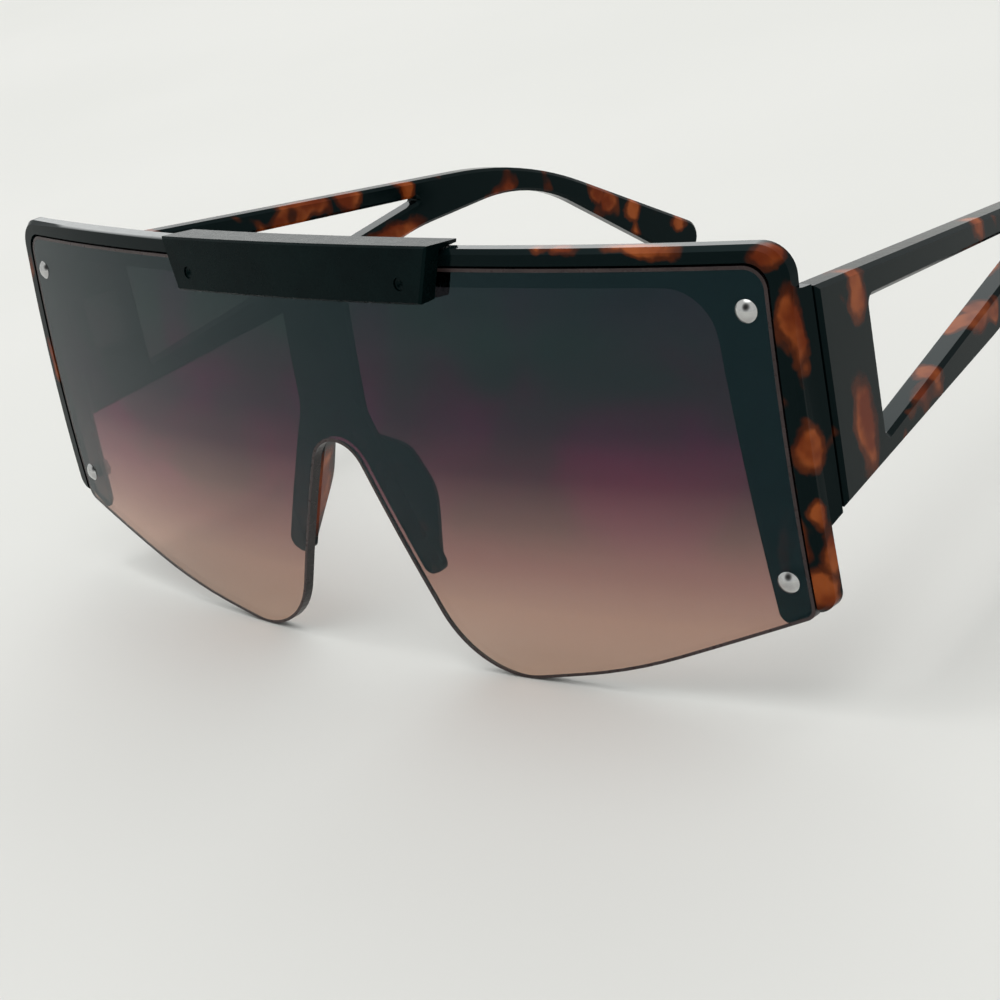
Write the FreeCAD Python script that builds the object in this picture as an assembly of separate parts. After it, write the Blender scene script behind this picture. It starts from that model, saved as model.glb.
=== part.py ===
import FreeCAD, Part
import math
import os

from FreeCAD import Vector

# Oversized shield sunglasses, in millimetres, resting on the lens lobes and the temple tips.
# The front is drawn with its lens upright: X to the wearer's left, Y to the back, Z up,
# and zero at the middle of the lens's top edge. At the end everything is tipped to its rest.

os.makedirs("parts", exist_ok=True)

# Lens: a one-piece shield, bent to a shallow dome
lens_half_width = 72.0
lens_side_flare = 0.7
lens_side_height = 44.6
lens_height = 60.0
lens_thickness = 1.5
lens_curve = 355.0
lens_belly_shares = (0.625, 0.915)
lens_lobe_shares = (0.256, 1.0)
lens_notch_peak_share = 0.291
lens_corner_radius = 3.0
lens_lower_corner_radius = 1.8
lens_belly_radius = 100.0
lens_lobe_radius = 14.0
lens_notch_radius = 5.2

# Front frame: lip round the lens, bands behind it
lip_width = 2.6
top_lip_height = 2.4
lip_rise = 0.15
lens_gap = 0.35
lens_seat_gap = 0.05
frame_depth = 2.6
frame_corner_radius = 4.2
frame_front_bevel = 0.6
frame_back_bevel = 0.6
top_band_height = 2.8
side_band_top_width = 8.1
side_band_end_width = 5.5
band_corner_radius = 7.0
band_end_drop = 47.1
band_end_radius = 1.6
lip_end_drop = 43.7
lip_end_radius = 2.6
lip_step_radius = 0.3

# Nose bridge and its two moulded pads
bridge_half_width = 6.2
bridge_shoulder_drop = 21.0
bridge_shoulder_radius = 6.0
bridge_rim_width = 3.6
bridge_end_drop = 44.6
bridge_end_rise = 1.4
bridge_end_radius = 1.5
bridge_setback = 0.5
pad_start_drop = 25.0
pad_length = 20.8
pad_reach = 7.0
pad_thickness = 2.4
pad_flare = 19.5
pad_edge_bevel = 0.7
pad_top_shares = (0.0, 0.29)
pad_crown_shares = (0.19, 0.89)
pad_belly_shares = (0.53, 1.0)
pad_tail_share = 0.37
pad_top_radius = 1.0
pad_crown_radius = 4.0
pad_belly_radius = 9.0
pad_tail_radius = 1.4

# End pieces that carry the hinges
end_piece_step = 1.0
end_piece_reach = 3.9
end_piece_top_drop = 3.3
end_piece_bottom_drop = 31.9
end_piece_shoulder = 4.3
end_piece_top_slope = 1.6
end_piece_bottom_slope = 2.2
end_piece_slope_radius = 2.4
end_piece_edge_bevel = 0.35
end_piece_inner_gap = 0.15

# Temples
temple_thickness = 3.8
temple_tip_thickness = 3.0
temple_taper_share = 0.62
temple_toe_in = 7.5
joint_gap = 0.7
temple_front_drop = 3.6
temple_front_height = 28.4
temple_length = 143.6
temple_tip_top_drop = 42.6
temple_tip_low_drop = 48.0
temple_upper_bend_shares = (0.6885, 0.38)
temple_lower_bend_shares = (0.6954, 0.423)
temple_merge_shares = (0.4986, 0.446)
temple_arm_shares = (0.3454, 0.548)
temple_tip_low_share = 0.9515
temple_upper_bend_radius = 75.0
temple_lower_bend_radius = 34.0
temple_merge_radius = 40.0
temple_arm_radius = 60.0
temple_tip_top_radius = 3.5
temple_tip_low_radius = 4.5
temple_edge_bevel = 0.55
window_front = 12.5
window_end_share = 0.5254
window_top_wall = 4.2
window_low_wall = 3.1
window_end_drop = 16.3
window_radius = 0.9

# Hinges: two knuckles on the temple, one on the front, leaves anchored in the plastic
hinge_drop = 17.0
knuckle_radius = 1.5
knuckle_height = 2.7
knuckle_gap = 0.15
knuckle_offset = 1.85
hinge_setback = 1.0
pin_radius = 0.6
pin_fit = 0.03
leaf_thickness = 1.0
front_leaf_length = 2.2
temple_leaf_length = 7.6
leaf_height = 8.4
leaf_relief = 0.35
leaf_seat_gap = 0.02
hinge_pad_margin = 1.4
hinge_pad_side = 0.5
hinge_pad_radius = 0.5
front_anchor_length = 1.4
temple_anchor_length = 3.0
anchor_height = 5.0
anchor_depth = 2.2
anchor_place_share = 0.6

# Lens screws with their six-sided cap nuts
lens_screw_side_gap = 2.9
upper_screw_drop = 5.4
lower_screw_drop = 39.9
lens_screw_radius = 0.7
lens_screw_head_radius = 1.45
lens_screw_head_height = 0.6
lens_hole_gap = 0.15
lens_screw_fit = 0.03
lens_nut_radius = 1.5
lens_nut_height = 1.0
lens_nut_skin = 0.3

# Brow bar over the middle of the lens's top edge
bar_top_half_width = 26.6
bar_bottom_half_width = 24.3
bar_rise = 3.9
bar_drop = 3.9
bar_thickness = 2.8
bar_lens_gap = 0.3
bar_cap_overhang = 0.3
bar_top_slope = 7.0
bar_edge_bevel = 0.3
bar_pin_u = 21.0
bar_pin_drop = 1.45
bar_pin_radius = 0.85
bar_pin_fit = 0.04
bar_pin_recess = 0.2
bar_pin_tip_gap = 0.5
bar_dimple_radius = 0.55
bar_dimple_depth = 0.3
bar_slot_gap = 0.35

# Steepest rest that is tried, and how finely it is found, in degrees
rest_angle_limit = 30.0
rest_angle_step = 0.00001

# How far cutting shapes run past what they cut
overrun = 30.0

# Largest part of a side that the rounded corners at its two ends may take up together
corner_room_share = 0.98

ORIGIN = Vector(0, 0, 0)
AXIS_X = Vector(1, 0, 0)
AXIS_Y = Vector(0, 1, 0)
AXIS_Z = Vector(0, 0, 1)


# Outlines with rounded corners

def rounded_face(corners, place):
    """Flat face from corners (a, b, radius); place turns a flat point into a point in space."""
    count = len(corners)
    points = [Vector(a, b, 0) for a, b, radius in corners]
    sides = [points[(index + 1) % count] - points[index] for index in range(count)]
    half_angles = [(math.pi - sides[index - 1].getAngle(sides[index])) / 2 for index in range(count)]
    reaches = [corners[index][2] / math.tan(half_angles[index]) for index in range(count)]
    rooms = []
    for index in range(count):
        wanted = reaches[index] + reaches[(index + 1) % count]
        room = sides[index].Length * corner_room_share
        rooms.append(room / max(wanted, room))
    starts, middles, ends = [], [], []
    for index in range(count):
        share = min(rooms[index - 1], rooms[index])
        back = (points[index - 1] - points[index]).normalize()
        ahead = (points[(index + 1) % count] - points[index]).normalize()
        reach = reaches[index] * share
        radius = corners[index][2] * share
        rise = radius / math.sin(half_angles[index]) - radius
        starts.append(points[index] + back * reach)
        ends.append(points[index] + ahead * reach)
        middles.append(points[index] + (back + ahead).normalize() * rise)
    edges = []
    for index in range(count):
        following = (index + 1) % count
        if corners[index][2] > 0:
            arc = Part.Arc(place(starts[index]), place(middles[index]), place(ends[index]))
            edges.append(arc.toShape())
        edges.append(Part.makeLine(place(ends[index]), place(starts[following])))
    return Part.Face(Part.Wire(edges))


def front_prism(corners):
    """Outline in the front view, cut through from front to back."""
    face = rounded_face(corners, lambda point: Vector(point.x, -overrun, point.y))
    return face.extrude(AXIS_Y * (2 * overrun))


def both_sides(half_corners, middle=()):
    """Closed outline: its left half listed downwards, corners on the middle line, and the mirrored half."""
    mirrored = [(-a, b, radius) for a, b, radius in reversed(half_corners)]
    return half_corners + list(middle) + mirrored


def mirror(shape):
    return shape.mirror(ORIGIN, AXIS_X)


# The lens surface, part of a large ball whose layers share one centre

lens_middle = -lens_height / 2
ball_centre = Vector(0, math.sqrt(lens_curve ** 2 - lens_middle ** 2), lens_middle)
frame_half_width = lens_half_width + lip_width


def lens_ball(offset):
    """Ball whose skin lies an offset behind the lens's front surface."""
    return Part.makeSphere(lens_curve - offset, ball_centre)


def lens_layer(corners, front, back):
    """Outline in the front view, cut from the layer between two offsets behind the lens's front surface."""
    return front_prism(corners).common(lens_ball(front)).cut(lens_ball(back))


def on_lens(u, z):
    """Point of the lens's front surface and the direction straight through the lens there."""
    depth = math.sqrt(lens_curve ** 2 - u ** 2 - (z - lens_middle) ** 2)
    point = Vector(u, ball_centre.y - depth, z)
    return point, (ball_centre - point).normalize()


def bored(point, through, start, length, radius):
    """Cylinder along a direction, starting at a distance from a point."""
    return Part.makeCylinder(radius, length, point + through * start, through)


def depth_behind_lens(point):
    """How far a point lies behind the lens's front surface."""
    return lens_curve - (point - ball_centre).Length


def hexagon(middle, direction, radius):
    """Six-sided face square to a direction, with its corners at a radius."""
    across = direction.cross(AXIS_Z).normalize()
    upward = across.cross(direction)
    angles = [math.pi * corner / 3 for corner in range(7)]
    corners = [middle + (across * math.cos(angle) + upward * math.sin(angle)) * radius for angle in angles]
    return Part.Face(Part.makePolygon(corners))


def bevel_edges(solid, size, chosen):
    """Bevel the edges whose end points are all chosen."""
    edges = [edge for edge in solid.Edges if all(chosen(vertex.Point) for vertex in edge.Vertexes)]
    return solid.makeChamfer(size, edges)


# Shield lens

lens_lower_half_width = lens_half_width + lens_side_flare
notch_peak = -lens_height * lens_notch_peak_share
lens_half = [
    (lens_half_width, 0, lens_corner_radius),
    (lens_lower_half_width, -lens_side_height, lens_lower_corner_radius),
    (lens_half_width * lens_belly_shares[0], -lens_height * lens_belly_shares[1], lens_belly_radius),
    (lens_half_width * lens_lobe_shares[0], -lens_height * lens_lobe_shares[1], lens_lobe_radius),
]
lens_outline = both_sides(lens_half, [(0, notch_peak, lens_notch_radius)])
shield_lens = lens_layer(lens_outline, 0, lens_thickness)

lens_screw_places = [
    on_lens(lens_half_width - lens_screw_side_gap, -upper_screw_drop),
    on_lens(lens_lower_half_width - lens_screw_side_gap, -lower_screw_drop),
]
lens_hole_radius = lens_screw_radius + lens_hole_gap
for place, through in lens_screw_places:
    hole = bored(place, through, -overrun / 2, overrun, lens_hole_radius)
    shield_lens = shield_lens.cut(hole).cut(mirror(hole))

slot_half = bar_pin_radius + bar_slot_gap
slot_corners = [
    (bar_pin_u - slot_half, overrun, 0),
    (bar_pin_u - slot_half, -bar_pin_drop - slot_half, slot_half / 2),
    (bar_pin_u + slot_half, -bar_pin_drop - slot_half, slot_half / 2),
    (bar_pin_u + slot_half, overrun, 0),
]
bar_slot = front_prism(slot_corners)
shield_lens = shield_lens.cut(bar_slot).cut(mirror(bar_slot))

# Front frame: an arch of lip and bands with a pocket for the lens

lens_seat = lens_thickness + lens_seat_gap
band_top_u = lens_half_width - side_band_top_width
band_end_u = lens_lower_half_width - side_band_end_width
arch_half = [
    (frame_half_width, top_lip_height, frame_corner_radius),
    (frame_half_width + lens_side_flare, -lip_end_drop, lip_end_radius),
    (lens_lower_half_width + lip_step_radius, -lip_end_drop - lip_step_radius, lip_step_radius / 2),
    (band_end_u, -band_end_drop, band_end_radius),
    (band_top_u, -top_band_height, band_corner_radius),
]
arch = lens_layer(both_sides(arch_half), -lip_rise, frame_depth)
arch = bevel_edges(arch, frame_front_bevel, lambda point: depth_behind_lens(point) < 0)
arch = bevel_edges(arch, frame_back_bevel, lambda point: depth_behind_lens(point) > lens_seat)
pocket_half = [
    (lens_half_width + lens_gap, lens_gap, lens_corner_radius),
    (lens_lower_half_width + lens_gap, -lens_side_height, 0),
    (lens_lower_half_width + lens_gap, -lens_height - overrun, 0),
]
pocket = lens_layer(both_sides(pocket_half), -overrun / 2, lens_seat)

notch_side = (lens_height * lens_lobe_shares[1] + notch_peak) / (lens_half_width * lens_lobe_shares[0])
notch_lean = math.atan2(1, notch_side)
bridge_peak = notch_peak + bridge_setback / math.sin(notch_lean)
bridge_end_u = (bridge_end_drop + bridge_peak) / notch_side
bridge_half = [
    (bridge_half_width, 0, 0),
    (bridge_half_width, -bridge_shoulder_drop, bridge_shoulder_radius),
    (bridge_end_u + bridge_rim_width, -bridge_end_drop + bridge_end_rise, bridge_end_radius),
    (bridge_end_u, -bridge_end_drop, bridge_end_radius),
]
bridge_arch_radius = lens_notch_radius + bridge_setback
bridge_outline = both_sides(bridge_half, [(0, bridge_peak, bridge_arch_radius)])
bridge = lens_layer(bridge_outline, lens_seat, frame_depth)

# A nose pad is a fin along the notch edge that flares out towards the face
pad_down = Vector(math.sin(notch_lean), 0, -math.cos(notch_lean))
pad_out = Vector(math.cos(notch_lean), 0, math.sin(notch_lean))
flare = math.radians(pad_flare)
pad_back = AXIS_Y * math.cos(flare) + pad_out * math.sin(flare)
pad_normal = pad_out * math.cos(flare) - AXIS_Y * math.sin(flare)
pad_start_u = (pad_start_drop + bridge_peak) / notch_side
pad_root = on_lens(pad_start_u, -pad_start_drop)[0] + AXIS_Y * lens_seat
pad_corners = [
    (0, 0, 0),
    (pad_length * pad_top_shares[0], pad_reach * pad_top_shares[1], pad_top_radius),
    (pad_length * pad_crown_shares[0], pad_reach * pad_crown_shares[1], pad_crown_radius),
    (pad_length * pad_belly_shares[0], pad_reach * pad_belly_shares[1], pad_belly_radius),
    (pad_length, pad_reach * pad_tail_share, pad_tail_radius),
    (pad_length, 0, 0),
]
pad_face = rounded_face(pad_corners, lambda point: pad_root + pad_down * point.x + pad_back * point.y)
nose_pad = pad_face.extrude(pad_normal * pad_thickness)
nose_pad = bevel_edges(nose_pad, pad_edge_bevel,
                       lambda point: (point - pad_root).dot(pad_back) > pad_edge_bevel)
behind_lens = lens_ball(lens_seat)
nose_pad = nose_pad.common(behind_lens)

# End pieces: they widen from the lip's side and wrap back to the temple joints
joint_face = on_lens(lens_half_width, 0)[0].y + end_piece_reach
end_outer = frame_half_width + end_piece_step
temple_front = joint_face + joint_gap
hinge_middle = -hinge_drop


def side_prism(corners, inner, outer):
    """Outline in the side view, from one distance off the middle to another."""
    face = rounded_face(corners, lambda point: Vector(inner, point.x, point.y))
    return face.extrude(AXIS_X * (outer - inner))


end_foot = joint_face - end_piece_shoulder
end_corners = [
    (0, end_piece_top_slope - end_piece_top_drop, 0),
    (end_foot, end_piece_top_slope - end_piece_top_drop, 0),
    ((end_foot + joint_face) / 2, -end_piece_top_drop, end_piece_slope_radius),
    (joint_face, -end_piece_top_drop, 0),
    (joint_face, -end_piece_bottom_drop, 0),
    (end_foot, -end_piece_bottom_drop - end_piece_bottom_slope, 0),
    (0, -end_piece_bottom_drop - end_piece_bottom_slope, 0),
]
end_inner = end_outer - temple_thickness - end_piece_inner_gap
lip_wall = frame_front_bevel - lip_rise
lip_wall_depth = on_lens(frame_half_width, hinge_middle)[0].y + lip_wall
end_plan = [
    (end_inner, 0, 0),
    (frame_half_width, 0, 0),
    (frame_half_width, lip_wall_depth, 0),
    (end_outer, joint_face, 0),
    (end_inner, joint_face, 0),
]
end_wedge = rounded_face(end_plan, lambda point: Vector(point.x, point.y, -overrun * 2))
end_wedge = end_wedge.extrude(AXIS_Z * overrun * 3)
end_piece = side_prism(end_corners, end_inner, end_outer).common(end_wedge)
end_piece = bevel_edges(end_piece, end_piece_edge_bevel,
                        lambda point: point.y > joint_face - end_piece_edge_bevel)
end_piece = end_piece.common(lens_ball(lip_wall))

# Hinge axis, set from the temple's inner face, and the flat seat of the front leaf
toe_in = math.radians(temple_toe_in)
temple_corner = Vector(end_outer, temple_front, 0)
temple_along = Vector(-math.sin(toe_in), math.cos(toe_in), 0)
temple_outward = Vector(math.cos(toe_in), math.sin(toe_in), 0)
axis_point = (temple_corner + temple_along * hinge_setback
              - temple_outward * (temple_thickness + knuckle_offset))
leaf_seat = axis_point.y - knuckle_radius - leaf_seat_gap - leaf_thickness + hinge_pad_margin / 2
front_leaf_outer = axis_point.x - knuckle_radius - leaf_relief
front_leaf_inner = front_leaf_outer - front_leaf_length
hinge_pad_half = leaf_height / 2 + hinge_pad_margin
seat_corners = [
    (0, hinge_middle + hinge_pad_half, 0),
    (leaf_seat, hinge_middle + hinge_pad_half, hinge_pad_radius),
    (leaf_seat, hinge_middle - hinge_pad_half, hinge_pad_radius),
    (0, hinge_middle - hinge_pad_half, 0),
]
hinge_seat = side_prism(seat_corners, front_leaf_inner - hinge_pad_side, frame_half_width)
hinge_seat = hinge_seat.common(behind_lens)

front_frame = arch.fuse([bridge, nose_pad, mirror(nose_pad), end_piece, mirror(end_piece),
                         hinge_seat, mirror(hinge_seat)]).cut(pocket).removeSplitter()
for place, through in lens_screw_places:
    hole = bored(place, through, -overrun / 2, overrun, lens_screw_radius + lens_screw_fit)
    front_frame = front_frame.cut(hole).cut(mirror(hole))

# Lens screws through the lens and the bands, with cap nuts behind

head_sphere = (lens_screw_head_radius ** 2 + lens_screw_head_height ** 2) / (2 * lens_screw_head_height)
nut_front = frame_depth + lens_screw_fit
screw_length = nut_front + lens_nut_height - lens_nut_skin - lens_screw_fit
lens_screws, lens_nuts = [], []
for place, through in lens_screw_places:
    dome = Part.makeSphere(head_sphere, place + through * (head_sphere - lens_screw_head_height))
    base = -lens_screw_head_height - lens_screw_fit
    head = bored(place, through, base, lens_screw_head_height, lens_screw_head_radius)
    dome.translate(through * -lens_screw_fit)
    shank = bored(place, through, -lens_screw_fit, screw_length + lens_screw_fit, lens_screw_radius)
    lens_screws.append(head.common(dome).fuse(shank).removeSplitter())
    nut = hexagon(place + through * nut_front, through, lens_nut_radius).extrude(through * lens_nut_height)
    blind = bored(place, through, 0, screw_length + lens_screw_fit, lens_screw_radius + lens_screw_fit)
    lens_nuts.append(nut.cut(blind))

# Brow bar: a front plate and a cap over the top of the lip

bar_back = -bar_lens_gap
bar_front = bar_back - bar_thickness
bar_plate_corners = [
    (bar_top_half_width, bar_rise, 0),
    (bar_bottom_half_width, -bar_drop, 0),
    (-bar_bottom_half_width, -bar_drop, 0),
    (-bar_top_half_width, bar_rise, 0),
]
bar_plate = lens_layer(bar_plate_corners, bar_front, bar_back)
cap_floor = top_lip_height + bar_cap_overhang / 2
bar_slant = (bar_top_half_width - bar_bottom_half_width) / (bar_rise + bar_drop)
cap_low_half_width = bar_top_half_width - bar_slant * (bar_rise - cap_floor)
bar_cap_corners = [
    (bar_top_half_width, bar_rise, 0),
    (cap_low_half_width, cap_floor, 0),
    (-cap_low_half_width, cap_floor, 0),
    (-bar_top_half_width, bar_rise, 0),
]
bar_cap = lens_layer(bar_cap_corners, bar_front, frame_depth + bar_cap_overhang)
above_bar = Part.makeBox(overrun * 2, overrun * 2, overrun, Vector(-overrun, 0, 0))
above_bar.rotate(ORIGIN, AXIS_X, -bar_top_slope)
above_bar.translate(Vector(0, bar_front, bar_rise))
brow_bar = bar_plate.fuse(bar_cap).cut(above_bar).removeSplitter()
brow_bar = bevel_edges(brow_bar, bar_edge_bevel,
                       lambda point: depth_behind_lens(point) < bar_back - bar_edge_bevel)

# Two dimpled pins hold the bar to the frame, through open slots in the lens's top edge
bar_place, bar_through = on_lens(bar_pin_u, -bar_pin_drop)
pin_start = bar_front + bar_pin_recess
pin_end = frame_depth - bar_pin_tip_gap
bar_hole = bored(bar_place, bar_through, pin_end - overrun, overrun + bar_pin_fit,
                 bar_pin_radius + bar_pin_fit)
brow_bar = brow_bar.cut([bar_hole, mirror(bar_hole)])
front_frame = front_frame.cut([bar_hole, mirror(bar_hole)])
pin_face = bar_place + bar_through * pin_start
dimple = Part.makeCone(bar_dimple_radius, 0, bar_dimple_depth, pin_face, bar_through)
left_bar_pin = bored(bar_place, bar_through, pin_start, pin_end - pin_start, bar_pin_radius).cut(dimple)

# Temples: a side outline with a long window, tapered in plan and toed in

temple_top = -temple_front_drop
temple_outline = [
    (-joint_gap - hinge_setback, temple_top, 0),
    (temple_length * temple_upper_bend_shares[0], -temple_tip_top_drop * temple_upper_bend_shares[1],
     temple_upper_bend_radius),
    (temple_length, -temple_tip_top_drop, temple_tip_top_radius),
    (temple_length * temple_tip_low_share, -temple_tip_low_drop, temple_tip_low_radius),
    (temple_length * temple_lower_bend_shares[0], -temple_tip_low_drop * temple_lower_bend_shares[1],
     temple_lower_bend_radius),
    (temple_length * temple_merge_shares[0], -temple_tip_low_drop * temple_merge_shares[1],
     temple_merge_radius),
    (temple_length * temple_arm_shares[0], -temple_tip_low_drop * temple_arm_shares[1], temple_arm_radius),
    (-joint_gap - hinge_setback, temple_top - temple_front_height, 0),
]
arm_fall = temple_tip_top_drop * temple_upper_bend_shares[1] - temple_front_drop
top_slope = arm_fall / (temple_length * temple_upper_bend_shares[0])
arm_climb = temple_front_drop + temple_front_height - temple_tip_low_drop * temple_arm_shares[1]
low_slope = arm_climb / (temple_length * temple_arm_shares[0])
window_outline = [
    (window_front, temple_top - window_front * top_slope - window_top_wall, window_radius),
    (temple_length * window_end_share, -window_end_drop, window_radius / 2),
    (window_front, temple_top - temple_front_height + window_front * low_slope + window_low_wall,
     window_radius),
]


def temple_prism(corners, inner, outer):
    """Outline along the temple, between two depths inwards from its outer face."""
    face = rounded_face(corners, lambda point: temple_corner - temple_outward * outer
                        + temple_along * point.x + AXIS_Z * point.y)
    return face.extrude(temple_outward * (outer - inner))


def plan_point(point):
    return temple_corner - temple_outward * point.x + temple_along * point.y - AXIS_Z * overrun * 3


temple_plan = [
    (0, -overrun, 0),
    (0, temple_length + overrun, 0),
    (temple_tip_thickness, temple_length + overrun, 0),
    (temple_tip_thickness, temple_length, 0),
    (temple_thickness, temple_length * temple_taper_share, 0),
    (temple_thickness, -overrun, 0),
]
temple_slab = rounded_face(temple_plan, plan_point).extrude(AXIS_Z * overrun * 4)
temple_blank = temple_prism(temple_outline, -overrun / 10, temple_thickness + overrun / 10)
temple_window = temple_prism(window_outline, -overrun / 10, temple_thickness + overrun / 10)
front_cut = Part.makeBox(overrun, overrun, overrun * 4,
                         Vector(end_outer - overrun / 2, temple_front - overrun, -overrun * 3))
left_temple = temple_blank.common(temple_slab).cut(temple_window).cut(front_cut)


def temple_depth(point):
    """How far a point lies inwards from the temple's outer face."""
    return (temple_corner - point).dot(temple_outward)


left_temple = bevel_edges(left_temple, temple_edge_bevel,
                          lambda point: temple_depth(point) < temple_edge_bevel)
left_temple = bevel_edges(left_temple, temple_edge_bevel,
                          lambda point: temple_depth(point) > temple_tip_thickness - temple_edge_bevel)

# Hinge leaves with their anchors, and the pins

knuckle_pitch = knuckle_height + knuckle_gap
bore_foot = axis_point + AXIS_Z * (hinge_middle - overrun / 2)
pin_bore = Part.makeCylinder(pin_radius + pin_fit, overrun, bore_foot)


def knuckle(level):
    base = axis_point + AXIS_Z * (hinge_middle + level * knuckle_pitch - knuckle_height / 2)
    return Part.makeCylinder(knuckle_radius, knuckle_height, base)


def leaf_plate(inner, outer, half_height, front, back):
    """Upright plate behind the lens, between two distances off the middle and two depths."""
    corner = Vector(inner, front, hinge_middle - half_height)
    return Part.makeBox(outer - inner, back - front, 2 * half_height, corner)


leaf_front = leaf_seat + leaf_seat_gap
leaf_back = leaf_front + leaf_thickness
anchor_u = front_leaf_inner + front_leaf_length * (1 - anchor_place_share)
anchor_front = leaf_front - anchor_depth
front_anchor_half = front_anchor_length / 2
neck_start = front_leaf_outer - leaf_thickness
front_leaf = leaf_plate(front_leaf_inner, front_leaf_outer, leaf_height / 2, leaf_front, leaf_back)
anchor = leaf_plate(anchor_u - front_anchor_half, anchor_u + front_anchor_half, anchor_height / 2,
                    anchor_front, leaf_back)
neck = leaf_plate(neck_start, axis_point.x, knuckle_height / 2, leaf_front, axis_point.y)
left_front_leaf = front_leaf.fuse([anchor, neck, knuckle(0)]).cut(pin_bore).removeSplitter()
front_slot_half = front_anchor_half + leaf_seat_gap
anchor_slot = leaf_plate(anchor_u - front_slot_half, anchor_u + front_slot_half,
                         anchor_height / 2 + leaf_seat_gap, anchor_front - leaf_seat_gap, leaf_back)
front_frame = front_frame.cut([anchor_slot, mirror(anchor_slot)])

leaf_start = hinge_setback


def leaf_corners(start, end, half_height):
    """Upright rectangle along the temple, centred on the hinge's height."""
    top = hinge_middle + half_height
    bottom = hinge_middle - half_height
    return [(start, top, 0), (end, top, 0), (end, bottom, 0), (start, bottom, 0)]


leaf_inner = temple_thickness + leaf_seat_gap
leaf_outer = leaf_inner + leaf_thickness
leaf_end = leaf_start + temple_leaf_length
anchor_s = leaf_start + temple_leaf_length * anchor_place_share
temple_leaf = temple_prism(leaf_corners(leaf_start, leaf_end, leaf_height / 2), leaf_inner, leaf_outer)
relief_end = leaf_start + knuckle_radius + leaf_relief
relief_corners = leaf_corners(-overrun, relief_end, knuckle_height / 2 + knuckle_gap)
relief = temple_prism(relief_corners, leaf_inner - leaf_relief, leaf_inner + overrun)
temple_anchor_half = temple_anchor_length / 2
temple_anchor = temple_prism(
    leaf_corners(anchor_s - temple_anchor_half, anchor_s + temple_anchor_half, anchor_height / 2),
    leaf_inner - anchor_depth, leaf_outer)
temple_slot_half = temple_anchor_half + leaf_seat_gap
temple_slot = temple_prism(
    leaf_corners(anchor_s - temple_slot_half, anchor_s + temple_slot_half, anchor_height / 2 + leaf_seat_gap),
    leaf_inner - anchor_depth - leaf_seat_gap, leaf_outer)
left_temple_leaf = temple_leaf.cut(relief).fuse([temple_anchor, knuckle(1), knuckle(-1)])
left_temple_leaf = left_temple_leaf.cut(pin_bore).removeSplitter()
left_temple = left_temple.cut(temple_slot)

pin_length = 2 * knuckle_pitch + knuckle_height
left_pin = Part.makeCylinder(pin_radius, pin_length, axis_point + AXIS_Z * (hinge_middle - pin_length / 2))

# The assembly, then its rest on the lens lobes and the temple tips

nodes = {
    "front_frame": front_frame,
    "shield_lens": shield_lens,
    "brow_bar": brow_bar,
}
left_nodes = {
    "temple": left_temple,
    "hinge_front_leaf": left_front_leaf,
    "hinge_temple_leaf": left_temple_leaf,
    "hinge_pin": left_pin,
    "brow_bar_pin": left_bar_pin,
    "upper_lens_screw": lens_screws[0],
    "lower_lens_screw": lens_screws[1],
    "upper_lens_nut": lens_nuts[0],
    "lower_lens_nut": lens_nuts[1],
}
for name, shape in left_nodes.items():
    nodes["left_" + name] = shape
    nodes["right_" + name] = mirror(shape)


def lowest(shape, angle):
    turned = shape.copy()
    turned.rotate(ORIGIN, AXIS_X, -angle)
    return turned.optimalBoundingBox().ZMin


low_angle, high_angle = 0, rest_angle_limit
while high_angle - low_angle > rest_angle_step:
    rest_angle = (low_angle + high_angle) / 2
    if lowest(left_temple, rest_angle) > lowest(shield_lens, rest_angle):
        low_angle = rest_angle
    else:
        high_angle = rest_angle

for shape in nodes.values():
    shape.rotate(ORIGIN, AXIS_X, -rest_angle)
box = Part.makeCompound(list(nodes.values())).optimalBoundingBox()
to_rest = Vector(-(box.XMin + box.XMax) / 2, -(box.YMin + box.YMax) / 2, -box.ZMin)
for name, shape in nodes.items():
    shape.translate(to_rest)
    shape.exportStep(os.path.join("parts", name + ".step"))

turn = FreeCAD.Rotation(AXIS_X, -rest_angle)
axis_rest = turn.multVec(axis_point + AXIS_Z * hinge_middle) + to_rest
print("rest angle", round(rest_angle, 4), "shift", to_rest)
print("left hinge at", axis_rest, "along", turn.multVec(AXIS_Z))
print("box", box.XLength, box.YLength, box.ZLength)
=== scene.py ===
# %% [markdown]
# Oversized shield sunglasses: a lesson in dressing a CAD model.
# The solids come in from CAD at their real size, in metres, and stay where they are.
# Blender adds what CAD doesn't have: finishes, polished edges, a floor, light and a camera.

# %% Load the model
import math
import bpy
import numpy as np
from mathutils import Vector, Matrix


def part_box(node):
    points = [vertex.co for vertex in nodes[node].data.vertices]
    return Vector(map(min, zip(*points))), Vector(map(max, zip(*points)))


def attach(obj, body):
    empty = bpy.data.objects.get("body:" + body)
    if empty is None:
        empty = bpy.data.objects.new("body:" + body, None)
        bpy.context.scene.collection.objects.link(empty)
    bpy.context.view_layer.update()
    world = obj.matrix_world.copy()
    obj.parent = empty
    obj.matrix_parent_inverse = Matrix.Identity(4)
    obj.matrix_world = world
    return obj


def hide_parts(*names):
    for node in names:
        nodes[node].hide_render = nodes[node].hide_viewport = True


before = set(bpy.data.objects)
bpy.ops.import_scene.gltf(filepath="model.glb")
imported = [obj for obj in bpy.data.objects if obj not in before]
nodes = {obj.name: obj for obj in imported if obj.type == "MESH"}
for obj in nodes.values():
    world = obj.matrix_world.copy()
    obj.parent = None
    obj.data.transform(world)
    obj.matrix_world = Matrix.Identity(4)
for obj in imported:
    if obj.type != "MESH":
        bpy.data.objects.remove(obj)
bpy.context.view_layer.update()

MM = 0.001

# %% [markdown]
# A finish is a small tree of shader nodes, as it could be laid out by hand in the Shader Editor.
# The same few nodes come back in every tree, so each kind gets a helper that adds it, sets it and
# joins it. The finishes below then read as recipes. Colours are written in linear light.

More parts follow.
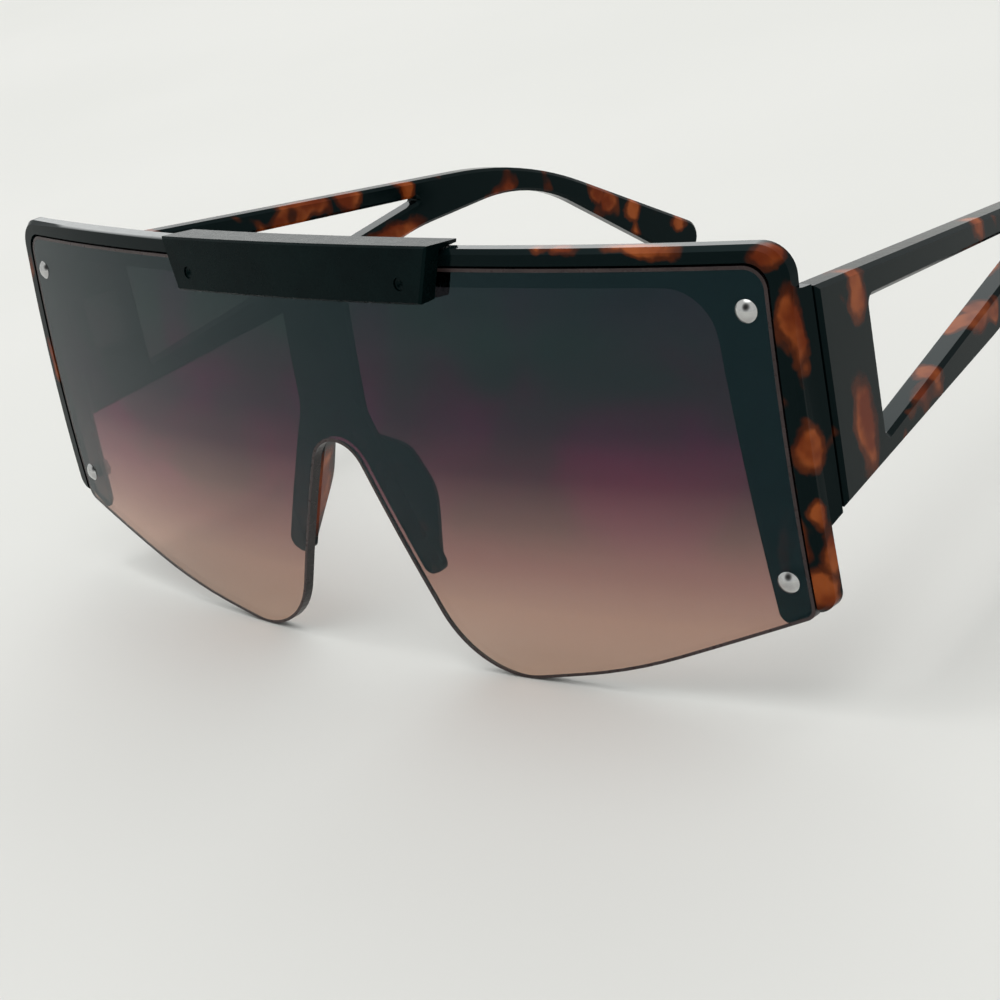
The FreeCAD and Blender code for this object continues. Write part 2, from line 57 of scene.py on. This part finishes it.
# %% Helpers: trees and sockets
def new_finish(name):
    finish = bpy.data.materials.new(name)
    finish.use_nodes = True
    tree = finish.node_tree
    return finish, tree, tree.nodes["Principled BSDF"]


def add_node(tree, kind, **settings):
    node = tree.nodes.new(kind)
    for key, value in settings.items():
        setattr(node, key, value)
    return node


def fill(tree, node, values):
    """Link an input where its value is a socket, and set it where it is a number or colour."""
    for name, value in values.items():
        if isinstance(value, bpy.types.NodeSocket):
            tree.links.new(value, node.inputs[name])
        else:
            node.inputs[name].default_value = value
    return node


# %% Helpers: sums and mixes
def math_node(tree, operation, first, second):
    node = add_node(tree, "ShaderNodeMath", operation=operation)
    return fill(tree, node, {0: first, 1: second}).outputs["Value"]


def vector_node(tree, operation, *inputs):
    node = fill(
        tree, add_node(tree, "ShaderNodeVectorMath", operation=operation), dict(enumerate(inputs))
    )
    return node.outputs["Value" if operation in ("LENGTH", "DOT_PRODUCT") else "Vector"]


def map_range(tree, value, start, end, low=0.0, high=1.0, interpolation="LINEAR"):
    node = add_node(tree, "ShaderNodeMapRange", interpolation_type=interpolation)
    ends = {"From Min": start, "From Max": end, "To Min": low, "To Max": high}
    return fill(tree, node, {"Value": value, **ends}).outputs["Result"]


def mix(tree, kind, share, first, second):
    """The first value where share is 0 and the second where it is 1."""
    node = add_node(tree, "ShaderNodeMix", data_type=kind)
    return fill(tree, node, {"Factor": share, "A": first, "B": second}).outputs["Result"]


# %% Helpers: patterns
BLACK, WHITE = (0, 0, 0), (1, 1, 1)


def object_place(tree, scale=(1, 1, 1), turn=(0, 0, 0)):
    """Object coordinates through a Mapping node, so that a pattern can be turned and stretched."""
    mapping = add_node(tree, "ShaderNodeMapping")
    coordinates = add_node(tree, "ShaderNodeTexCoord").outputs["Object"]
    fill(tree, mapping, {"Vector": coordinates, "Scale": scale, "Rotation": turn})
    return mapping.outputs["Vector"]


def noise(tree, vector, scale, detail=2.0, roughness=0.5, distortion=0.0, output="Fac"):
    node = add_node(tree, "ShaderNodeTexNoise")
    fill(tree, node, {"Vector": vector, "Scale": scale, "Detail": detail})
    fill(tree, node, {"Roughness": roughness, "Distortion": distortion})
    return node.outputs[output]


def ramp(tree, factor, stops, interpolation="EASE"):
    """Colour ramp from (place, colour) stops."""
    node = add_node(tree, "ShaderNodeValToRGB")
    node.color_ramp.interpolation = interpolation
    elements = node.color_ramp.elements
    while len(elements) < len(stops):
        elements.new(0.5)
    for element, (place, colour) in zip(elements, stops):
        element.position = place
        element.color = (*colour, 1)
    return fill(tree, node, {"Fac": factor}).outputs["Color"]


# %% Helpers: small unevenness of a surface
def grey(level):
    return (level, level, level)


def vary(tree, shader, socket, vector, scale, low, high, detail=2.0):
    """Let an input of the shader wander between two values, patch by patch."""
    tone = ramp(tree, noise(tree, vector, scale, detail), [(0.3, low), (0.7, high)])
    tree.links.new(tone, shader.inputs[socket])


def grain(tree, shader, vector, scale, strength, distance):
    """Fine bump, so that highlights are not perfectly clean."""
    bump = add_node(tree, "ShaderNodeBump")
    height = noise(tree, vector, scale, 3.0)
    fill(tree, bump, {"Strength": strength, "Distance": distance, "Height": height})
    tree.links.new(bump.outputs["Normal"], shader.inputs["Normal"])


# %% [markdown]
# Tortoise plastic is mixed from dark and amber pellets, so the amber runs in soft-edged clouds
# through the whole thickness. Painted on a UV map, a cloud would stop at every seam. Made in
# object space, it goes through the piece and meets itself round every edge. Large clouds are
# stretched balls at chosen places, bent by a weak noise until no outline is round. Small ones come
# from a noise of their own.

# %% Amber clouds: centre and half sizes in mm
CLOUDS = [
    ((72.8, -64.5, 58.8), (3.2, 2.2, 1.5)), ((74.6, -64.6, 50.0), (1.6, 1.6, 5.6)),
    ((75.0, -66.0, 35.2), (2.4, 2.4, 3.4)), ((75.0, -67.2, 26.8), (2.4, 1.5, 2.2)),
    ((75.3, -66.4, 21.6), (2.2, 2.0, 3.4)), ((74.2, -67.6, 17.4), (2.2, 2.0, 3.0)),
    ((74.3, -51.2, 49.6), (3.0, 2.4, 4.2)), ((74.7, -54.4, 32.6), (3.0, 3.0, 6.4)),
    ((71.5, -34.0, 30.0), (3.4, 2.2, 2.0)), ((69.0, -17.0, 32.0), (3.0, 2.4, 2.0)),
    ((69.7, -15.6, 44.2), (2.4, 2.0, 3.6)), ((56.0, -66.8, 60.2), (6.4, 2.0, 1.5)),
    ((43.5, -68.2, 60.8), (4.0, 1.8, 1.2)), ((-64.5, -4.0, 41.2), (3.0, 3.2, 3.2)),
    ((-62.8, 8.0, 38.6), (3.0, 1.8, 3.6)), ((-63.5, 3.0, 31.4), (3.0, 8.0, 2.2)),
    ((-57.0, 51.5, 21.0), (3.0, 1.8, 2.6)), ((-56.0, 60.0, 14.6), (3.0, 2.4, 2.4)),
    ((-55.0, 71.0, 7.6), (2.4, 2.2, 1.8)), ((-8.6, -72.4, 23.0), (4.2, 4.2, 9.0)),
]
print("amber clouds", len(CLOUDS))

# %% Large clouds
BEND_SCALE = 210.0
BEND_REACH = 3.8 * MM
CLOUD_FADE = (1.15, 0.60)


def bent_place(tree):
    """Object coordinates, pushed to and fro by a noise."""
    place = object_place(tree)
    push = noise(tree, place, BEND_SCALE, 3.0, output="Color")
    push = vector_node(tree, "MULTIPLY_ADD", push, [BEND_REACH] * 3, [-BEND_REACH / 2] * 3)
    return vector_node(tree, "ADD", place, push)


def large_clouds(tree):
    """1 inside the nearest of the chosen clouds, fading to 0 round it."""
    place = bent_place(tree)
    nearest = None
    for centre, half in CLOUDS:
        stretch = [1 / (h * MM) for h in half]
        shift = [-c / h for c, h in zip(centre, half)]
        away = vector_node(
            tree, "LENGTH", vector_node(tree, "MULTIPLY_ADD", place, stretch, shift)
        )
        nearest = away if nearest is None else math_node(tree, "MINIMUM", nearest, away)
    return map_range(tree, nearest, *CLOUD_FADE)


# %% Depth of amber
SMALL_FADE = (0.605, 0.700)


def small_clouds(tree):
    place = object_place(tree, scale=(1.0, 0.75, 0.6), turn=(0.25, 0.1, 0.4))
    return map_range(tree, noise(tree, place, 165.0, 2.0, 0.45, 0.2), *SMALL_FADE)


def amber_depth(tree):
    """0 in the dark, 1 in the middle of an amber cloud."""
    return math_node(tree, "MAXIMUM", large_clouds(tree), small_clouds(tree))


# %% Tortoise plastic
# The dark colour has a slight teal cast, which is a painted reflection of a bluish-green room over
# the dark plastic.
DARK_WITH_TEAL_REFLECTION = (0.0016, 0.0050, 0.0054)
DEEP_AMBER = [(0.0, DARK_WITH_TEAL_REFLECTION), (0.45, (0.045, 0.008, 0.002)), (1.0, (0.150, 0.022, 0.003))]
MILKY_AMBER = [(0.0, DARK_WITH_TEAL_REFLECTION), (0.45, (0.100, 0.020, 0.004)), (1.0, (0.350, 0.082, 0.018))]


def tortoise_finish():
    finish, tree, shader = new_finish("tortoise_plastic")
    place = object_place(tree)
    depth = amber_depth(tree)
    milk = ramp(tree, noise(tree, place, 130.0, 3.0), [(0.38, BLACK), (0.62, WHITE)])
    deep, milky = (ramp(tree, depth, stops) for stops in (DEEP_AMBER, MILKY_AMBER))
    fill(tree, shader, {
        "Base Color": mix(tree, "RGBA", milk, deep, milky),
        "IOR": 1.45,
        "Specular IOR Level": 0.09,
        # Teal Specular Tint: a painted reflection of a bluish-green room.
        "Specular Tint": (0.60, 0.95, 1.0, 1),
    })
    vary(tree, shader, "Roughness", place, 900.0, grey(0.08), grey(0.14))
    grain(tree, shader, place, 350.0, 0.03, 0.2 * MM)
    return finish


# %% [markdown]
# The lens is tinted in the sheet: nearly black at the brow, plum in the middle and a pale
# pinkish brown at the cheek. A plain see-through colour would do for a flat picture, but a real
# sheet also mirrors and bends light, so this one is glass whose colour follows the height. Two
# ramps, one leaning to teal and one to plum, are mixed by a slow noise into faint clouds of colour
# in the dark part. The teal is a painted reflection of a bluish-green room, and so is the teal
# Specular Tint. For shadows a Transparent shader stands in, because a path tracer can't aim at a
# lamp through a bent ray.

# %% Tint: share of the height from cheek to brow, and colour
CHEEK = [
    (0.00, (0.650, 0.465, 0.365)), (0.17, (0.530, 0.334, 0.262)), (0.29, (0.345, 0.186, 0.162)),
]
# The dark stops of this ramp lean to teal, which is a painted reflection of a bluish-green room.
TINT_WITH_TEAL_REFLECTION = CHEEK + [
    (0.40, (0.180, 0.102, 0.092)), (0.52, (0.068, 0.028, 0.037)), (0.63, (0.031, 0.014, 0.021)),
    (0.74, (0.016, 0.014, 0.015)), (0.84, (0.012, 0.017, 0.015)), (1.00, (0.007, 0.010, 0.010)),
]
PLUM = CHEEK + [
    (0.40, (0.222, 0.094, 0.103)), (0.52, (0.108, 0.024, 0.045)), (0.63, (0.060, 0.009, 0.033)),
    (0.74, (0.034, 0.008, 0.019)), (0.84, (0.021, 0.011, 0.017)), (1.00, (0.010, 0.008, 0.013)),
]
lens_low, lens_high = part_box("shield_lens")
print("lens from", round(lens_low.z / MM, 1), "to", round(lens_high.z / MM, 1), "mm high")


# %% Gradient lens
def lens_tint(tree):
    place = add_node(tree, "ShaderNodeTexCoord").outputs["Object"]
    split = fill(tree, add_node(tree, "ShaderNodeSeparateXYZ"), {"Vector": place})
    height = map_range(tree, split.outputs["Z"], lens_low.z, lens_high.z)
    teal_reflection_tint, plum = (ramp(tree, height, stops, "LINEAR") for stops in (TINT_WITH_TEAL_REFLECTION, PLUM))
    # Share of the teal ramp: patches of painted teal reflection over the plum tint.
    share = ramp(tree, noise(tree, place, 42.0, 2.0, 0.5, 0.6), [(0.36, BLACK), (0.64, WHITE)])
    return mix(tree, "RGBA", share, teal_reflection_tint, plum)


def lens_finish():
    finish, tree, shader = new_finish("gradient_lens")
    tint = lens_tint(tree)
    fill(tree, shader, {
        "Base Color": tint,
        "Transmission Weight": 1.0,
        "Roughness": 0.0,
        "IOR": 1.40,
        # Teal Specular Tint: a painted reflection of a bluish-green room.
        "Specular Tint": (0.33, 0.74, 0.86, 1),
    })
    clear = fill(tree, add_node(tree, "ShaderNodeBsdfTransparent"), {"Color": tint})
    shadow = add_node(tree, "ShaderNodeLightPath").outputs["Is Shadow Ray"]
    choose = add_node(tree, "ShaderNodeMixShader")
    fill(tree, choose, {"Fac": shadow, 1: shader.outputs["BSDF"], 2: clear.outputs["BSDF"]})
    tree.links.new(choose.outputs["Shader"], tree.nodes["Material Output"].inputs["Surface"])
    return finish


# %% [markdown]
# The cut edge of the lens looks like a dark line, because light that enters it is caught inside
# the sheet. Glass alone would need very many bounces to show that. So the edge gets a closed
# finish of its own, and the ground rim along the front outline a paler one of the same kind.

# %% Lens edge
def lens_edge_finish(name, low, high):
    finish, tree, shader = new_finish(name)
    place = object_place(tree)
    vary(tree, shader, "Base Color", place, 300.0, low, high)
    vary(tree, shader, "Roughness", place, 1500.0, grey(0.25), grey(0.4))
    shader.inputs["Specular IOR Level"].default_value = 0.3
    return finish


# %% [markdown]
# The brow bar is satin black: almost no colour, a broad weak highlight and a very fine moulded
# texture, which a bump gives more cheaply than geometry. The lens screws and nuts are polished
# chrome, and the hinge metal is brushed along the hinge: there the noise is stretched in height.

# %% Satin black
# The slight teal in these blacks is a painted reflection of a bluish-green room.
BAR_LOW_WITH_TEAL_REFLECTION, BAR_HIGH_WITH_TEAL_REFLECTION = (0.0006, 0.0034, 0.0036), (0.0014, 0.0058, 0.0058)


def bar_finish():
    finish, tree, shader = new_finish("satin_black_bar")
    place = object_place(tree)
    vary(tree, shader, "Base Color", place, 220.0, BAR_LOW_WITH_TEAL_REFLECTION, BAR_HIGH_WITH_TEAL_REFLECTION, 3.0)
    vary(tree, shader, "Roughness", place, 700.0, grey(0.24), grey(0.32))
    # Teal Specular Tint: a painted reflection of the same bluish-green room.
    fill(tree, shader, {"Specular IOR Level": 0.06, "Specular Tint": (0.55, 0.95, 1.0, 1)})
    grain(tree, shader, place, 2600.0, 0.02, 0.1 * MM)
    return finish


# %% Chrome and nickel
def metal_finish(name, stretch, tone, rub):
    """Tone and rub hold the scale of a noise, its lowest and its highest value."""
    finish, tree, shader = new_finish(name)
    place = object_place(tree, scale=stretch)
    vary(tree, shader, "Base Color", place, *tone)
    vary(tree, shader, "Roughness", place, *rub)
    shader.inputs["Metallic"].default_value = 1.0
    return finish


chrome = metal_finish(
    "polished_chrome",
    stretch=(1.0, 1.0, 1.0),
    tone=(900.0, (0.44, 0.44, 0.44), (0.54, 0.54, 0.53)),
    rub=(2500.0, grey(0.06), grey(0.14)),
)
nickel = metal_finish(
    "satin_nickel",
    stretch=(1.0, 1.0, 0.08),
    tone=(2600.0, (0.45, 0.43, 0.40), (0.52, 0.50, 0.47), 3.0),
    rub=(3200.0, grey(0.28), grey(0.34)),
)
satin_black = bar_finish()
print("finishes", [finish.name for finish in (chrome, nickel, satin_black)])

# %% [markdown]
# The bar and the small metal pieces are machined or moulded with crisp edges, which the CAD meshes
# already have. They stay as they are and only get a finish in their material slot.

# %% Dress the bar and the metal pieces
FINISH_BY_WORD = {
    "lens_screw": chrome, "lens_nut": chrome, "hinge": nickel, "brow_bar": satin_black,
}
dressed = []
for name, node in nodes.items():
    for word, finish in FINISH_BY_WORD.items():
        if word in name:
            node.data.materials.clear()
            node.data.materials.append(finish)
            dressed.append(name)
print("dressed", len(dressed), "pieces")

# %% [markdown]
# The moulded pieces are polished until no edge is sharp. CAD gave each edge a flat bevel. Here a
# copy of the node is merged into one skin, its flat faces are freed of their inner triangles, and
# a narrow Bevel modifier rounds what is left of the edges. A Weighted Normal modifier keeps the
# large faces flat, so that light rolls over the edges only, as on the real piece.

# %% Merged copy of a CAD node
MERGE_DISTANCE = 0.002 * MM


def merged_copy(node, name, body, finish):
    bpy.ops.object.select_all(action="DESELECT")
    piece = bpy.data.objects.new(name, nodes[node].data.copy())
    bpy.context.scene.collection.objects.link(piece)
    bpy.context.view_layer.objects.active = piece
    piece.select_set(True)
    bpy.ops.object.mode_set(mode="EDIT")
    bpy.ops.mesh.select_all(action="SELECT")
    bpy.ops.mesh.remove_doubles(threshold=MERGE_DISTANCE, use_sharp_edge_from_normals=True)
    bpy.ops.object.mode_set(mode="OBJECT")
    piece.data.materials.clear()
    piece.data.materials.append(finish)
    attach(piece, body)
    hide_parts(node)
    return piece


# %% Polished edges
FLAT_ANGLE = math.radians(0.3)
EDGE_ANGLE = math.radians(28)
SMOOTH_ANGLE = math.radians(40)
EDGE_RADIUS = 0.40 * MM


def polish_edges(piece):
    bpy.ops.object.mode_set(mode="EDIT")
    bpy.ops.mesh.select_all(action="SELECT")
    bpy.ops.mesh.dissolve_limited(angle_limit=FLAT_ANGLE)
    bpy.ops.object.mode_set(mode="OBJECT")
    bevel = piece.modifiers.new("soft_edges", "BEVEL")
    bevel.width = EDGE_RADIUS
    bevel.segments = 3
    bevel.limit_method = "ANGLE"
    bevel.angle_limit = EDGE_ANGLE
    bevel.use_clamp_overlap = True
    bpy.ops.object.modifier_apply(modifier=bevel.name)
    bpy.ops.object.shade_smooth_by_angle(angle=SMOOTH_ANGLE)
    even = piece.modifiers.new("even_faces", "WEIGHTED_NORMAL")
    even.keep_sharp = True
    even.weight = 80
    bpy.ops.object.modifier_apply(modifier=even.name)
    print(piece.name, "faces", len(piece.data.polygons))


# %% Polish the frame and the temples
BODY_OF_MOULDING = {
    "front_frame": "front", "left_temple": "left_temple", "right_temple": "right_temple",
}
tortoise = tortoise_finish()
for node, body in BODY_OF_MOULDING.items():
    piece = merged_copy(node, node + "_polished", body, tortoise)
    polish_edges(piece)

# %% [markdown]
# The lens is copied in the same way. Its faces that look sideways are the cut edge and the walls
# of its holes: they are picked by their normals and take the edge finish. The front outline of a
# cut lens is also ground off a little, which shows as a fine dull rim. A bevel would spoil the
# dome's triangles, so Inset draws a narrow ring along the outline, in the surface itself.

# %% Lens with a dark cut edge
SIDEWAYS = 0.7


def looks_sideways(face):
    return abs(face.normal.y) < SIDEWAYS


def looks_forward(face):
    return face.normal.y < -SIDEWAYS


lens = merged_copy("shield_lens", "shield_lens_polished", "front", lens_finish())
lens_mesh = lens.data
for name, low, high in (
    ("lens_cut_edge", (0.009, 0.007, 0.0073), (0.015, 0.012, 0.0117)),
    ("lens_rim", (0.034, 0.021, 0.021), (0.052, 0.033, 0.032)),
):
    lens_mesh.materials.append(lens_edge_finish(name, low, high))
cut_edge = [face for face in lens_mesh.polygons if looks_sideways(face)]
for face in cut_edge:
    face.material_index = 1
print("cut edge faces", len(cut_edge), "of", len(lens_mesh.polygons))

# %% Rim of the lens
RIM_WIDTH = 0.46 * MM
bpy.ops.object.mode_set(mode="EDIT")
bpy.ops.mesh.select_mode(type="FACE")
bpy.ops.mesh.select_all(action="DESELECT")
bpy.ops.object.mode_set(mode="OBJECT")
for face in lens_mesh.polygons:
    face.select = looks_forward(face)
bpy.ops.object.mode_set(mode="EDIT")
bpy.ops.mesh.inset(thickness=RIM_WIDTH, use_even_offset=True)
bpy.ops.mesh.select_all(action="INVERT")
bpy.ops.object.mode_set(mode="OBJECT")
rim = [face for face in lens_mesh.polygons if face.select and looks_forward(face)]
for face in rim:
    face.material_index = 2
print("rim faces", len(rim), "of", len(lens_mesh.polygons))

# %% [markdown]
# Both sides of the lens are parts of balls round one centre. The new ring has disturbed the smooth
# normals of the CAD mesh, but they are easy to give back: on a ball the normal is the line from
# the centre. A least-squares fit finds that centre from the vertices of the front side.

# %% Centre of the dome
front_points = np.array([
    lens_mesh.vertices[index].co[:]
    for face in lens_mesh.polygons if looks_forward(face)
    for index in face.vertices
])
system = np.hstack([2 * front_points, np.ones((len(front_points), 1))])
squares = (front_points ** 2).sum(axis=1)
centre = Vector(np.linalg.lstsq(system, squares, rcond=None)[0][:3])
print("dome centre in mm", [round(c / MM, 1) for c in centre])

# %% Dome normals
normals = []
for face in lens_mesh.polygons:
    face.use_smooth = True
    for index in face.vertices:
        outward = (lens_mesh.vertices[index].co - centre).normalized()
        if looks_sideways(face):
            normals.append(face.normal.copy())
        else:
            normals.append(outward if outward.dot(face.normal) > 0 else -outward)
lens_mesh.normals_split_custom_set(normals)
print("lens has its own normals", lens_mesh.has_custom_normals)

# %% [markdown]
# The floor is a large sheet of pale paper, dull and almost even. A curved studio backdrop would do
# as well, but from the photograph's side the camera looks down and sees only floor, so a plane
# that reaches far enough is the simplest way.

# %% Floor
PAPER_LOW, PAPER_HIGH = (0.675, 0.670, 0.648), (0.695, 0.688, 0.667)
bpy.ops.object.select_all(action="DESELECT")
bpy.ops.mesh.primitive_plane_add(size=12.0, location=(0, 0, 0))
floor = bpy.context.active_object
floor.name = "floor_sheet"
paper, tree, shader = new_finish("pale_paper")
vary(tree, shader, "Base Color", object_place(tree), 6.0, PAPER_LOW, PAPER_HIGH, 3.0)
fill(tree, shader, {"Roughness": 0.9, "Specular IOR Level": 0.0})
floor.data.materials.append(paper)
print("floor in m", [round(side, 1) for side in floor.dimensions])

# %% [markdown]
# Light: a room that is dim in front and brighter behind, with a broad window behind on the left,
# which gives the pale upper edges, and a soft ceiling light, which lights the floor. Area lamps
# would leave a bright pool on the floor. Drawn in the world, the two lights have no near side, so
# the floor is even out to its edge. What the camera sees of the room, directly or through the
# lens, is one plain pale wall. Polished pieces mirror the same wall, with the two lights and with
# a dark card in front, which gives the chrome heads their form.

# %% Room
world = bpy.data.worlds.new("pale_room")
world.use_nodes = True
tree = world.node_tree
background = tree.nodes["Background"]
background.inputs["Color"].default_value = (0.985, 1.0, 0.99, 1)
way = add_node(tree, "ShaderNodeTexCoord").outputs["Generated"]


def world_level(towards, start, end, low, high):
    """Brightness that grows from low to high as a ray turns towards one direction."""
    facing = vector_node(tree, "DOT_PRODUCT", way, Vector(towards).normalized())
    return map_range(tree, facing, start, end, low, high, "SMOOTHSTEP")


# %% Window and ceiling light
window = math_node(
    tree, "MULTIPLY",
    world_level((-0.57, 0.78, 0.27), 0.80, 0.95, 0.0, 1.85),
    world_level((0.0, 0.0, 1.0), 0.03, 0.16, 0.0, 1.0),
)
ceiling = world_level((-0.05, 0.0, 1.0), 0.80, 0.95, 0.0, 1.8)
lights = math_node(tree, "ADD", window, ceiling)

# %% Walls
WALL = 0.78
dim_wall = world_level((-0.45, 0.60, 0.65), -0.6, 1.0, 0.28, 0.80)
mirrored_wall = world_level((0.02, 0.85, -0.48), -1.0, -0.83, 0.05, WALL)
ray = add_node(tree, "ShaderNodeLightPath").outputs
wall = mix(tree, "FLOAT", ray["Is Glossy Ray"], dim_wall, mirrored_wall)
room = math_node(tree, "ADD", wall, lights)
seen = math_node(tree, "MAXIMUM", ray["Is Camera Ray"], ray["Is Transmission Ray"])
tree.links.new(mix(tree, "FLOAT", seen, room, WALL), background.inputs["Strength"])
bpy.context.scene.world = world
print("room with", len(tree.nodes), "nodes")

# %% [markdown]
# One small lamp finishes the room. It is weak, but as a small bright disc it leaves a clear spark
# on polished edges and on the screw heads, which the broad lights can't.

# %% Spark lamp
LAMP_PLACE = Vector((-0.35, -0.10, 1.30))
LAMP_AIM = Vector((0.0, -0.05, 0.04))


def turn_to(place, aim):
    """Turn that makes a lamp or camera at one point look at another."""
    return (aim - place).to_track_quat("-Z", "Y")


lamp = bpy.data.lights.new("spark_lamp", "AREA")
lamp.shape = "DISK"
lamp.size = 0.14
lamp.energy = 1.0
spark_lamp = bpy.data.objects.new("spark_lamp", lamp)
bpy.context.scene.collection.objects.link(spark_lamp)
spark_lamp.location = LAMP_PLACE
spark_lamp.rotation_euler = turn_to(LAMP_PLACE, LAMP_AIM).to_euler()
print("spark lamp", lamp.energy, "W")

# %% [markdown]
# The camera stands where the photograph was taken from: off the wearer's left, a little above,
# and turned about its own axis. It could be placed by eye, but its place, aim and focal length
# come from matching known points, which is surer.

# %% Camera
CAMERA_PLACE = Vector((223.07, -254.92, 140.08)) * MM
CAMERA_AIM = Vector((1.03, -47.99, 10.55)) * MM
CAMERA_ROLL = math.radians(-14.655)
camera_data = bpy.data.cameras.new("photo_camera")
camera_data.sensor_width = 36.0
camera_data.lens = 79.14
camera = bpy.data.objects.new("photo_camera", camera_data)
bpy.context.scene.collection.objects.link(camera)
turn = turn_to(CAMERA_PLACE, CAMERA_AIM).to_matrix().to_4x4()
roll = Matrix.Rotation(CAMERA_ROLL, 4, "Z")
camera.matrix_world = Matrix.Translation(CAMERA_PLACE) @ turn @ roll
bpy.context.scene.camera = camera
print("camera", round((CAMERA_PLACE - CAMERA_AIM).length / MM), "mm from its aim")

# %% Finish
bpy.context.scene.view_settings.view_transform = "Standard"
